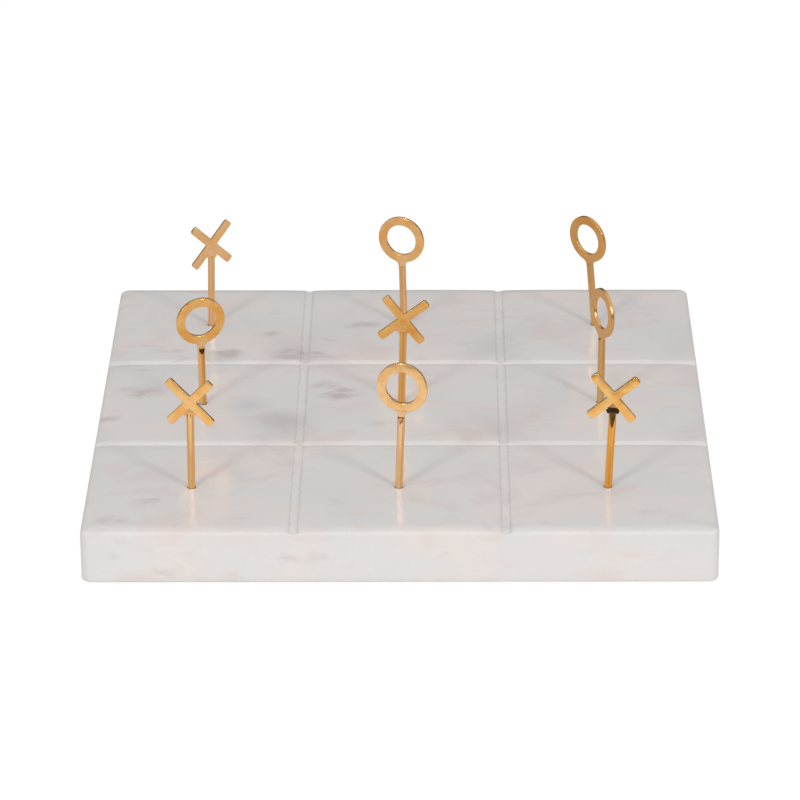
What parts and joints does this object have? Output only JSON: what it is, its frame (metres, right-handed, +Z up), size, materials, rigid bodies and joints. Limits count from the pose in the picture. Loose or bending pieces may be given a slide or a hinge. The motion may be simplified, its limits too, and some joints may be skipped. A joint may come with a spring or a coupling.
{
  "type": "tic tac toe set",
  "caption": "Square grooved marble board with a blind hole in each square, and loose brass cross and ring pegs that stand in the holes.",
  "frame": {"origin": "middle of the board's footprint, at the level that the pads rest on", "axes": "+Z up; -Y is the side that the players' symbols face; +X to the right as seen from that side"},
  "size_m": [0.203, 0.203, 0.0623],
  "materials": {
    "marble": "polished white marble with faint veins",
    "brass": "polished",
    "braze": "ground flush and polished",
    "felt": "pressed felt"
  },
  "bodies": {
    "board": {"marble_board": "marble", "felt_pads": "felt"},
    "x_peg_back_left": {"x_cross_back_left": "brass", "x_stem_back_left": "brass", "x_braze_back_left": "braze"},
    "o_peg_back_centre": {"o_ring_back_centre": "brass", "o_stem_back_centre": "brass", "o_braze_back_centre": "braze"},
    "o_peg_back_right": {"o_ring_back_right": "brass", "o_stem_back_right": "brass", "o_braze_back_right": "braze"},
    "o_peg_middle_left": {"o_ring_middle_left": "brass", "o_stem_middle_left": "brass", "o_braze_middle_left": "braze"},
    "x_peg_middle_centre": {"x_cross_middle_centre": "brass", "x_stem_middle_centre": "brass", "x_braze_middle_centre": "braze"},
    "o_peg_middle_right": {"o_ring_middle_right": "brass", "o_stem_middle_right": "brass", "o_braze_middle_right": "braze"},
    "x_peg_front_left": {"x_cross_front_left": "brass", "x_stem_front_left": "brass", "x_braze_front_left": "braze"},
    "o_peg_front_centre": {"o_ring_front_centre": "brass", "o_stem_front_centre": "brass", "o_braze_front_centre": "braze"},
    "x_peg_front_right": {"x_cross_front_right": "brass", "x_stem_front_right": "brass", "x_braze_front_right": "braze"}
  },
  "joints": [
    {"name": "lift_back_left", "type": "slide", "parent": "board", "child": "x_peg_back_left", "axis": [0.0192, -0.0035, 0.9998], "range_m": [0, 0.015]},
    {"name": "lift_back_centre", "type": "slide", "parent": "board", "child": "o_peg_back_centre", "axis": [-0.0244, 0, 0.9997], "range_m": [0, 0.015]},
    {"name": "lift_back_right", "type": "slide", "parent": "board", "child": "o_peg_back_right", "axis": [-0.0854, 0, 0.9963], "range_m": [0, 0.015]},
    {"name": "lift_middle_left", "type": "slide", "parent": "board", "child": "o_peg_middle_left", "axis": [-0.0017, -0.0698, 0.9976], "range_m": [0, 0.015]},
    {"name": "lift_middle_centre", "type": "slide", "parent": "board", "child": "x_peg_middle_centre", "axis": [0.0297, 0, 0.9996], "range_m": [0, 0.015]},
    {"name": "lift_middle_right", "type": "slide", "parent": "board", "child": "o_peg_middle_right", "axis": [0.007, 0.0192, 0.9998], "range_m": [0, 0.015]},
    {"name": "lift_front_left", "type": "slide", "parent": "board", "child": "x_peg_front_left", "axis": [0.0052, 0, 1], "range_m": [0, 0.015]},
    {"name": "lift_front_centre", "type": "slide", "parent": "board", "child": "o_peg_front_centre", "axis": [0.0366, 0.0105, 0.9993], "range_m": [0, 0.015]},
    {"name": "lift_front_right", "type": "slide", "parent": "board", "child": "x_peg_front_right", "axis": [0.0436, 0.0035, 0.999], "range_m": [0, 0.015]}
  ]
}
